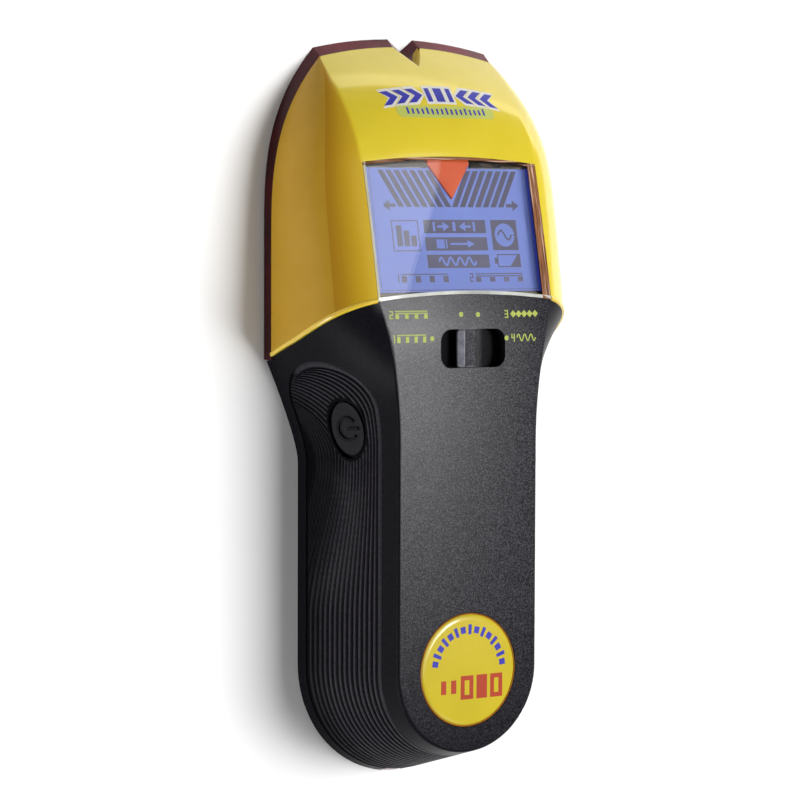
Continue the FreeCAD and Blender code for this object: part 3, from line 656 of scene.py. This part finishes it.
def grip_mesh():
    """The grip's closed shell, with the button's hole, and the painted light of each point, lit on the rib
    tops and shaded in the grooves.
    """
    (outer, painted_rib_lights), (inner, _) = grip_skin(0, True), grip_skin(GRIP_WALL, False)
    rows, cols = len(outer[0]), len(outer)
    flat_out, flat_in = np.concatenate(outer), np.concatenate(inner)

    def at(i, j):
        return i * rows if i in (0, cols - 1) else i * rows + j

    faces = tidy_faces([[at(i, j), at(i + 1, j), at(i + 1, j + 1), at(i, j + 1)]
                        for i in range(cols - 1) for j in range(rows - 1)])
    kept, edge = [], set()
    for f in faces:
        x, y, z = flat_out[list(f)].mean(0)
        if x < 0 and y > -13 and hole_at(x, y, z) < 1:
            edge.update(f)
        else:
            kept.append(f)
    ids = sorted({i for f in kept for i in f})
    for i in edge & set(ids):
        x, y, z = flat_out[i]
        along, up = in_wall(x, y, z)
        ring = hole_at(x, y, z)
        for _ in range(12):
            a, u = in_wall(-float(handle_half(y, z)), y, z)
            y += (along / ring - a) * HOLE_A
            z += (up / ring - u) * HOLE_B
        flat_out[i] = (-float(handle_half(y, z)), y, z)
        flat_in[i] = (-float(handle_half(y, z, GRIP_WALL)), y, z)
    order = {old: new for new, old in enumerate(ids)}
    kept = [tuple(order[i] for i in f) for f in kept]
    painted_rib_light = np.concatenate([np.concatenate(painted_rib_lights)[ids], np.zeros(len(ids))])
    return thick([tuple(flat_out[i]) for i in ids], [tuple(flat_in[i]) for i in ids], kept), painted_rib_light


grip_shape, grip_painted_light = grip_mesh()
grip = make("grip_panel", *grip_shape, rubber, slot="grip_rubber", angle=60)
# the ribs' painted light, read by the rubber material
store(grip, "rib", grip_painted_light)
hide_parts("grip")


# ---- printed and moulded marks -----------------------------------------------------------------
PRINT_DEPTH = 0.04                                 # how far a mark reaches into the surface under it


def quad(corners, step=1.2):
    """Grid of points inside four corners given in order, with cells no longer than a step."""
    a, b, c, d = (np.array(p, float) for p in corners)
    nu = max(1, int(np.ceil(max(np.hypot(*(b - a)), np.hypot(*(c - d))) / step)))
    nv = max(1, int(np.ceil(max(np.hypot(*(d - a)), np.hypot(*(c - b))) / step)))
    return [[tuple((1 - v) * ((1 - u) * a + u * b) + v * ((1 - u) * d + u * c))
             for u in np.linspace(0, 1, nu + 1)] for v in np.linspace(0, 1, nv + 1)]


def mirrored_quad(corners, flip):
    """Quad whose corners run the other way when its x values have been mirrored."""
    return quad(corners[::-1] if flip else corners)


def rect(x0, x1, y0, y1, lean=0.0):
    return quad(((x0, y0), (x1, y0), (x1 + lean, y1), (x0 + lean, y1)))


def stroke(points, width):
    """Band of even width along a line of points."""
    pts = [np.array(p, float) for p in points]
    left, right = [], []
    for i, p in enumerate(pts):
        d = pts[min(i + 1, len(pts) - 1)] - pts[max(i - 1, 0)]
        n = np.array([-d[1], d[0]]) / np.hypot(*d) * width / 2
        left.append(tuple(p + n))
        right.append(tuple(p - n))
    return [right, left]


def arc(cx, cy, r, a0, a1, width, n=24):
    angles = np.radians(np.linspace(a0, a1, n + 1))
    return stroke([(cx + r * cos(a), cy + r * sin(a)) for a in angles], width)


def frame_of(x0, x1, y0, y1, w):
    """Four bars around a rectangle."""
    return [rect(x0, x1, y0, y0 + w), rect(x0, x1, y1 - w, y1),
            rect(x0, x0 + w, y0 + w, y1 - w), rect(x1 - w, x1, y0 + w, y1 - w)]


def wave(x0, x1, y, high, width, turns):
    t = np.linspace(0, 1, 41)
    return stroke([(x0 + (x1 - x0) * k, y + high * sin(2 * pi * turns * k)) for k in t], width)


def printed(name, grids, place, high, mat, body="body", slot=None):
    """Thin raised mark: grids of flat points set on a surface by place(u, v, height)."""
    outer, inner, faces = [], [], []
    for grid in grids:
        base, n = len(outer), len(grid[0])
        for u, v in (p for row in grid for p in row):
            outer.append(tuple(float(c) for c in place(u, v, high)))
            inner.append(tuple(float(c) for c in place(u, v, -PRINT_DEPTH)))
        for j in range(len(grid) - 1):
            faces += [(base + j * n + i, base + j * n + i + 1,
                       base + (j + 1) * n + i + 1, base + (j + 1) * n + i) for i in range(n - 1)]
    return make(name, *thick(outer, inner, faces), mat, body, slot, smooth=False)


FIGURES = {1: "bc", 2: "abged", 3: "abgcd", 4: "fgbc"}


def figure(number, x, y, high):
    """Plain figure made of bars, its lower left corner at x, y."""
    w, t, mid = 0.52 * high, 0.15 * high, y + 0.5 * high
    bars = {"a": (x, x + w, y + high - t, y + high), "d": (x, x + w, y, y + t),
            "g": (x, x + w, mid - t / 2, mid + t / 2), "f": (x, x + t, mid, y + high),
            "b": (x + w - t, x + w, mid, y + high), "c": (x + w - t, x + w, y, mid),
            "e": (x, x + t, y, mid)}
    return [rect(*bars[k]) for k in FIGURES[number]]


def icon(kind, x0, x1, y, high):
    """Row of small signs: wall studs, deep studs, metal beams or a mains wave."""
    t, bar = 0.15 * high, 0.11 * (x1 - x0)
    if kind == "wave":
        return [wave(x0, x1, y + high / 2, high * 0.42, t, 3)]
    if kind == "beams":
        r, mid = 0.46 * high, y + 0.5 * high
        return [quad(((x, mid - r), (x + r, mid), (x, mid + r), (x - r, mid)))
                for x in np.linspace(x0 + r, x1 - r, 5)]
    tall, lines = (0.55, (1.0, 0.74)) if kind == "deep" else (0.75, (1.0,))
    bars = [rect(x, x + bar, y, y + high * tall) for x in np.linspace(x0, x1 - bar, 4)]
    return bars + [rect(x0, x1, y + high * k - 0.9 * t, y + high * k) for k in lines]


def label(number, kind, x0, x1, y, high):
    """A figure and its sign, filling one line of print."""
    return figure(number, x0, y, high) + icon(kind, x0 + 0.85 * high, x1, y, high)


def on_front(x, y, high):
    return x, y, front(x, y) + high


# the four modes round the slider
labels = label(2, "deep", -23.4, -12.3, 24.2, 2.0) + label(1, "studs", -23.2, -13.0, 18.3, 2.0)
labels += label(3, "beams", 11.0, 21.4, 24.0, 2.0) + label(4, "wave", 12.8, 20.3, 18.0, 2.0)
labels += [arc(x, y, 0.32, 0, 360, 0.62, 16)
           for x, y in ((-11.2, 19.2), (-2.3, 25.1), (2.8, 25.0), (11.3, 18.95))]
printed("mode_labels", labels, on_front, 0.05, lime_print)

# nose emblem: chevrons closing on a centre bar, drawn along a shallow arch
EMBLEM_X, EMBLEM_Y, EMBLEM_SAG, EMBLEM_HALF = 1.6, 80.3, 0.0047, 1.75
CHEVRONS, CHEVRON_TAIL, CHEVRON_NOSE, CHEVRON_WIDE = (6.2, 9.95, 13.7), 1.4, 1.1, 2.3


def on_nose(u, v, high):
    x, y = EMBLEM_X + u, EMBLEM_Y - EMBLEM_SAG * u * u + v
    return x, y, front(x, y) + high * 1.3


def emblem(grow):
    high = EMBLEM_HALF + grow
    shapes = [rect(-1.25 - grow, 1.25 + grow, -high, high)]
    for side in (-1, 1):
        shapes.append(rect(*sorted((side * (2.5 - grow), side * (3.9 + grow))), -high, high))
        for at in CHEVRONS:
            tail, nose, wide = at + CHEVRON_TAIL, at - CHEVRON_NOSE, CHEVRON_WIDE + grow
            for up in (-1, 1):
                ends = (nose - grow, 0), (nose + wide, 0), (tail + wide, up * high), (tail - grow, up * high)
                shapes.append(mirrored_quad([(side * u, v) for u, v in ends], side * up < 0))
    return shapes


printed("emblem_outline", emblem(0.6), on_nose, 0.035, white_print)
printed("emblem", emblem(0), on_nose, 0.07, blue_print)

# scale strip under the emblem
PILL_LEFT, PILL_RIGHT, PILL_Y, PILL_R = -12.9, 16.9, 75.9, 1.55
ends = PILL_R * (1 - np.cos(np.linspace(0.2, pi / 2, 7)))
pill_x = np.concatenate([PILL_LEFT + ends, np.linspace(PILL_LEFT + PILL_R, PILL_RIGHT - PILL_R, 26)[1:-1],
                         PILL_RIGHT - ends[::-1]])
reach = np.minimum(pill_x - PILL_LEFT, PILL_RIGHT - pill_x)
tall = np.sqrt(PILL_R ** 2 - np.maximum(PILL_R - reach, 0) ** 2)
pill = [[(x, PILL_Y + k * t) for x, t in zip(pill_x, tall)] for k in np.linspace(-1, 1, 5)]
printed("scale_pill", [pill], on_front, 0.045, pill_print)
ticks = [rect(x - 0.27, x + 0.27, PILL_Y - 0.65, PILL_Y + (0.75 if k % 4 else 1.05))
         for k, x in enumerate(np.linspace(-9.6, 13.6, 17))]
printed("scale_ticks", ticks, on_front, 0.08, blue_print)

# display figures, drawn on the tilted glass
TILT = radians(12.1)
LCD_Y, LCD_Z = 45.9, float(profile(45.9)) - 3.6


def on_glass(x, y, high):
    return x, LCD_Y + y * cos(TILT) + high * sin(TILT), LCD_Z - y * sin(TILT) + high * cos(TILT)


signs = []
for side in (-1, 1):
    for k in range(7):
        foot = side * (0.9 + 2.35 * k)
        signs.append(rect(foot - 0.8, foot + 0.8, 5.87, 15.25, side * 5.2))
    tip, neck, tail = side * 20.4, side * 18.6, side * 16.7
    signs.append(mirrored_quad([(neck, 4.9), (tip, 6.2), (tip, 6.4), (neck, 7.7)], side < 0))
    signs.append(rect(*sorted((neck, tail)), 5.85, 6.75))
signs += [rect(-9.1, 9.6, y, y + 3.4) for y in (-0.8, -5.25, -9.7)]
# bar sign, sine sign's field and battery sign
signs += frame_of(-18.7, -10.7, -5.4, 2.5, 0.28)
signs += [rect(-17.4 + 2.1 * k, -15.8 + 2.1 * k, -4.1, 1.2 - 1.3 * k) for k in range(3)]
signs += [rect(11.2, 19.1, -5.2, 2.6)]
signs += frame_of(12.1, 19.2, -9.6, -6.2, 0.3) + [rect(11.3, 12.1, -8.7, -7.1)]
signs.append(quad(((16.0, -9.3), (18.9, -9.3), (18.9, -6.5), (18.3, -6.5))))
signs += label(1, "studs", -19.2, -3.4, -13.3, 2.2) + label(2, "deep", 3.0, 19.3, -13.3, 2.2)
signs += frame_of(-23.6, 23.6, -15.3, 15.9, 0.13)
# painted shade along the display's right and bottom edges
edges = [rect(23.75, 25.15, -16.4, 16.4), rect(-25.15, 23.75, -16.4, -15.75)]
printed("display_edge", edges, on_glass, 0.015, lcd_edge_shade)
printed("display_signs", signs, on_glass, 0.02, segment)

# signs left light in the three bars: a centre between arrows, an edge, a wave; then the sine disc
cut = [rect(-0.45, 0.45, -0.3, 2.1), rect(-6.4, -5.7, -0.3, 2.1), rect(5.7, 6.4, -0.3, 2.1)]
for side in (-1, 1):
    head = [(side * x, y) for x, y in ((1.6, 0.8), (3.4, -0.3), (3.4, 2.1), (1.6, 1.0))]
    cut.append(mirrored_quad(head, side < 0))
    cut.append(rect(*sorted((side * 3.4, side * 5.0)), 0.6, 1.2))
cut += [rect(-5.8, -3.4, -4.7, -2.4), rect(-3.0, -2.6, -4.7, -2.4), rect(-1.6, 3.6, -3.8, -3.3)]
cut += [quad(((3.6, -4.5), (5.6, -3.6), (5.6, -3.5), (3.6, -2.6))), wave(-5.6, 5.6, -8.0, 1.0, 0.55, 4)]
cut += [arc(15.15, -1.3, 1.5, 0, 360, 3.0, 32)]
printed("display_cutouts", cut, on_glass, 0.035, lcd)
printed("display_wave", [wave(13.1, 17.2, -1.3, 1.2, 0.5, 1)], on_glass, 0.05, segment)


# power sign on the button
def on_button(u, v, high):
    return tuple(BUTTON - u * WALL_ALONG + v * WALL_UP + (high - BUTTON_SUNK) * WALL_OUT)


power = [arc(0, 0, 2.9, 128, 412, 0.75, 36), stroke([(0, k) for k in np.linspace(0.2, 3.5, 5)], 0.75)]
printed("power_sign", power, on_button, 0.5, shaded_sign_rubber, "button", slot="grip_rubber")
round_edges(NODES["power_button"], 0.0004)

# ---- painted highlights and reflections on the window's rims -----------------------------------
PANE_LOW, PANE_MARGIN, RIM_HIGH = 30.1, 0.05, 0.13


def rim_strip(name, side, width, mat):
    """Sloping strip along one side of the pane (-x, +x, -y or +y), highest on its inner edge, carrying a
    painted highlight or reflection.
    """
    upright = side[1] == "x"
    grid = []
    for v in np.linspace(0, 1, 4):
        row = []
        for t in np.linspace(-1, 1, 41):
            x = (PANE_HALF - PANE_MARGIN - width * v) * (1 if side[0] == "+" else -1)
            x = x if upright else t * (PANE_HALF - PANE_MARGIN)
            bow = PANE_BOW * (x / PANE_HALF) ** 2
            if upright:
                y = (PANE_LOW + PANE_TOP) / 2 - bow + t * (PANE_TOP - PANE_LOW - 2 * PANE_MARGIN) / 2
            elif side[0] == "-":
                y = PANE_LOW + PANE_MARGIN + width * v - bow
            else:
                y = PANE_TOP - PANE_MARGIN - width * v - bow
            row.append((x, y, v))
        grid.append(row if side in ("-y", "+x") else row[::-1])
    outer = [(x, y, float(front(x, y)) + 0.02 + RIM_HIGH * v) for row in grid for x, y, v in row]
    inner = [(x, y, float(front(x, y)) - 0.05) for row in grid for x, y, v in row]
    n = len(grid[0])
    faces = [(j * n + i, j * n + i + 1, (j + 1) * n + i + 1, (j + 1) * n + i)
             for j in range(len(grid) - 1) for i in range(n - 1)]
    return make(name, *thick(outer, inner, faces), mat, slot="clear_window", angle=60)


# painted highlight along the bottom, painted copper reflections at the top and right, a pale painted
# reflection on the left
rim_strip("rim_bottom", "-y", 0.85, rim_highlight)
rim_strip("rim_top", "+y", 0.7, copper_reflection_top)
rim_strip("rim_right", "+x", 2.6, copper_reflection_side)
rim_strip("rim_left", "-x", 0.6, rim_pale_reflection)

# ---- badge -------------------------------------------------------------------------------------
BADGE_R, BADGE_TOP, BADGE_SIDES = 14.4, 32.9, 96


def turned(name, outline, mat):
    """Solid turned about the round end's axis: outline is (radius, height) from low pole to high pole."""
    n = BADGE_SIDES
    verts = [(0, END_Y, outline[0][1])]
    for r, z in outline[1:-1]:
        verts += [(r * cos(2 * pi * k / n), END_Y + r * sin(2 * pi * k / n), z) for k in range(n)]
    verts.append((0, END_Y, outline[-1][1]))
    rings, last = len(outline) - 2, len(verts) - 1
    faces = [(0, 1 + (k + 1) % n, 1 + k) for k in range(n)]
    for j in range(rings - 1):
        a = 1 + j * n
        faces += [(a + k, a + (k + 1) % n, a + n + (k + 1) % n, a + n + k) for k in range(n)]
    faces += [(1 + (rings - 1) * n + k, 1 + (rings - 1) * n + (k + 1) % n, last) for k in range(n)]
    return make(name, verts, faces, mat, slot="badge_yellow")


def badge_height(r):
    """Low dome of the badge with a rounded edge."""
    edge = np.clip((r - 12.6) / 1.5, 0, 1)
    return BADGE_TOP - 0.12 * (r / BADGE_R) ** 2 - 0.6 * (1 - np.sqrt(1 - edge ** 2 * 0.98))


def on_badge(x, y, high):
    return x, END_Y + y, badge_height(np.hypot(x, y)) + high


dome = [(r, float(badge_height(r))) for r in (14.1, 13.95, 13.7, 13.3, 12.9, 12.6, 11, 8, 4)]
disc = turned("badge_disc", [(0, 31.5), (13.6, 31.5), (14.1, 31.7)] + dome + [(0, BADGE_TOP)], badge_yellow)
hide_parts("badge")
# painted shade: a darker orange-brown collar round the badge's edge
turned("badge_collar", [(0, 31.45), (14.35, 31.45), (BADGE_R, 31.6), (BADGE_R, 32.45), (14.3, 32.6),
                        (14.1, 32.6), (14.05, 32.45), (14.05, 31.6), (0, 31.5)], badge_rim_shade)

# ring of narrow and wide ticks over a row of blocks
TICKS, TICK_RING, TICK_FIRST, TICK_SWEEP = 15, 10.3, 168, 160
ring = []
for k in range(TICKS):
    middle = TICK_FIRST - TICK_SWEEP * k / (TICKS - 1)
    half_turn, length = (1.6 * 1.6, 2.5) if k % 2 else (2.6 * 1.6, 1.7)
    ring.append(arc(0, 0, TICK_RING, middle - half_turn, middle + half_turn, length, 3))
printed("badge_ticks", ring, on_badge, 0.04, blue_print)
blocks = [rect(x, x + 1.5, -5.7, -2.3) for x in (-8.3, -5.3)] + [rect(2.4, 5.6, -7.4, -1.4)]
blocks += frame_of(-2.4, 1.4, -7.4, -1.4, 1.15) + frame_of(6.6, 10.3, -7.4, -1.4, 1.15)
printed("badge_target", blocks, on_badge, 0.04, red_print)

# ---- floor, light, camera (metres) ---------------------------------------------------------------
bpy.ops.mesh.primitive_plane_add(size=6, location=(0, 0, -0.00005))
floor = bpy.context.object
floor_mat = Mat("floor", 0.9, Specular_IOR_Level=0.2).colour((0.93, 0.93, 0.93), (0.95, 0.95, 0.95), 3)
floor.data.materials.append(floor_mat.m)


def area(name, where, size, power, target=(0, 0, 0.02), colour=(1, 1, 1)):
    light = bpy.data.lights.new(name, "AREA")
    light.shape = "RECTANGLE"
    light.size, light.size_y = size
    light.energy, light.color = power, colour
    obj = bpy.data.objects.new(name, light)
    bpy.context.scene.collection.objects.link(obj)
    obj.location = where
    obj.rotation_euler = (Vector(target) - Vector(where)).to_track_quat("-Z", "Y").to_euler()
    return obj


# the key light makes no reflections; the sheen and the horizon are seen only as reflections
key = area("key", (0.68, 0.05, 1.0), (0.5, 0.55), 18.5)
key.visible_glossy = False
area("side", (-0.75, -0.4, 0.14), (0.7, 0.2), 4.2, (0, 0, 0.015))
sheen = area("sheen", (0.36, 0.1, 1.0), (0.3, 0.3), 5)
sheen.visible_diffuse = False
area("foot", (0.3, -0.95, 1.0), (0.8, 0.6), 1.2)
horizon = area("horizon", (0.88, 1.33, 0.06), (2.0, 0.22), 3.5, (0, 0, 0.06), (1.0, 0.94, 0.74))
horizon.visible_diffuse = False

# bright card above, seen only as a reflection in the window and the glossy cover
CARD_CORNERS = [(0.124, -0.25, 1), (0.753, 0.64, 1), (-0.4, 0.64, 1), (-0.4, -0.25, 1)]
card_mesh = bpy.data.meshes.new("card")
card_mesh.from_pydata(CARD_CORNERS, [], [(0, 1, 2, 3)])
card = bpy.data.objects.new("card", card_mesh)
bpy.context.scene.collection.objects.link(card)
card_mat = Mat("card", 1.0, Emission_Color=(1, 1, 1, 1), Emission_Strength=1.6)
card_mat.colour((0.01, 0.01, 0.01), (0.02, 0.02, 0.02), 3)
card_mesh.materials.append(card_mat.m)
card.visible_diffuse = False
card.visible_shadow = False

world = bpy.data.worlds.new("studio")
bpy.context.scene.world = world
world.use_nodes = True
world.node_tree.nodes["Background"].inputs["Color"].default_value = (1, 1, 1, 1)
world.node_tree.nodes["Background"].inputs["Strength"].default_value = 0.11
bpy.context.scene.view_settings.view_transform = "Standard"

camera = bpy.data.objects.new("camera", bpy.data.cameras.new("camera"))
bpy.context.scene.collection.objects.link(camera)
camera.data.lens, camera.data.sensor_width = 134.604, 36
camera.data.clip_start = 0.01
camera.data.dof.use_dof = False
CAMERA_AT = (-0.42159, 0.04893, 0.65085)
yaw, pitch, roll = radians(32.96), radians(3.47), radians(0.18)
back = Vector((-sin(yaw) * cos(pitch), sin(pitch), cos(yaw) * cos(pitch)))
right = Vector((0, 1, 0)).cross(back).normalized()
up = back.cross(right)
right, up = right * cos(roll) + up * sin(roll), up * cos(roll) - right * sin(roll)
camera.matrix_world = Matrix.Translation(CAMERA_AT) @ Matrix((right, up, back)).transposed().to_4x4()
bpy.context.scene.camera = camera
